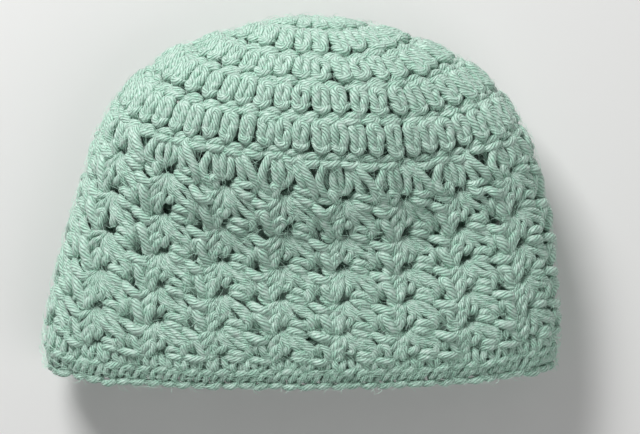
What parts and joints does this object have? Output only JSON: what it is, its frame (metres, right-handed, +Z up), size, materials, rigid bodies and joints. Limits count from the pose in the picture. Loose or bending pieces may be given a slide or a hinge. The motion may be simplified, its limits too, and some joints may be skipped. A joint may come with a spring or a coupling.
{
  "type": "crochet beanie hat",
  "caption": "Soft crochet beanie lying on its back: closed crown of double crochet, pierced body of shell stitches and a single crochet rim round an open mouth.",
  "frame": {"origin": "on the table under the middle of the hat's box, with the hat lying on its back", "axes": "+X across the hat at its widest, +Y from the open rim to the crown, +Z up from the table"},
  "size_m": [0.1908, 0.1364, 0.0647],
  "materials": {
    "yarn": "pale green acrylic yarn, four plies, softly lustrous with a light halo of fibres"
  },
  "bodies": {
    "root": {"crown": "yarn", "shell_body": "yarn", "rim_band": "yarn"}
  },
  "joints": []
}
